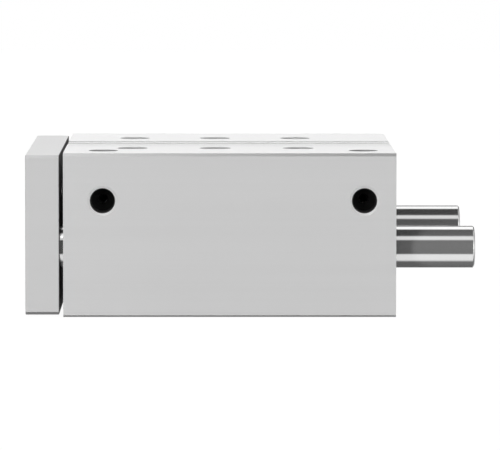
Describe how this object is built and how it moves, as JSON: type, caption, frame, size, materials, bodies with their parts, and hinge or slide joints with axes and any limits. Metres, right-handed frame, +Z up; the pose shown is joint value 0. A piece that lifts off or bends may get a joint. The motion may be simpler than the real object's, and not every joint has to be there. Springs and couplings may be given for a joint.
{
  "type": "guided pneumatic cylinder",
  "caption": "Compact guided pneumatic cylinder: a rectangular aluminium housing whose piston pushes a yoke plate carried on parallel guide rods.",
  "frame": {"origin": "middle of the mounting-hole grid on the base face of the housing", "axes": "+X along the stroke from the yoke towards the rear, +Y away from the side with the ports, +Z up from the base face"},
  "size_m": [0.2143, 0.162, 0.078],
  "materials": {
    "housing_aluminium": "clear anodised, satin",
    "yoke_aluminium": "clear anodised, satin",
    "turned_aluminium": "turned, clear anodised",
    "ground_steel": "hardened, ground and polished",
    "spring_steel": "phosphated, oiled",
    "black_screw": "black oxide",
    "plated_nut": "zinc plated",
    "plated_plug": "nickel plated",
    "bearing_bronze": "sintered, oiled",
    "nitrile_rubber": "moulded, matte",
    "seal_polyurethane": "moulded, satin",
    "buffer_polyurethane": "moulded, satin",
    "magnet_strip": "plastic-bonded magnet, matte"
  },
  "bodies": {
    "housing": {"housing": "housing_aluminium", "front_bearing_cap": "turned_aluminium", "rod_bush": "bearing_bronze", "rod_wiper_seal": "seal_polyurethane", "front_cap_o_ring": "nitrile_rubber", "front_retaining_ring": "spring_steel", "front_buffer": "buffer_polyurethane", "rear_end_cap": "turned_aluminium", "rear_cap_o_ring": "nitrile_rubber", "rear_retaining_ring": "spring_steel", "rear_buffer": "buffer_polyurethane", "port_plug_front": "plated_plug", "port_plug_rear": "plated_plug", "guide_wiper_port_side": "nitrile_rubber", "guide_wiper_far_side": "nitrile_rubber", "guide_bush_front_port_side": "bearing_bronze", "guide_bush_front_far_side": "bearing_bronze", "guide_bush_rear_port_side": "bearing_bronze", "guide_bush_rear_far_side": "bearing_bronze"},
    "yoke": {"yoke_plate": "yoke_aluminium", "guide_rod_port_side": "ground_steel", "guide_rod_far_side": "ground_steel", "guide_rod_screw_port_side": "black_screw", "guide_rod_screw_far_side": "black_screw", "piston_rod": "ground_steel", "piston_rod_screw": "black_screw", "piston_front_half": "turned_aluminium", "piston_rear_half": "turned_aluminium", "piston_magnet_ring": "magnet_strip", "piston_seal_front": "seal_polyurethane", "piston_seal_rear": "seal_polyurethane", "piston_o_ring": "nitrile_rubber", "piston_nut": "plated_nut"}
  },
  "joints": [
    {"name": "stroke", "type": "slide", "parent": "housing", "child": "yoke", "axis": [-1, 0, 0], "range_m": [0, 0.1]}
  ]
}
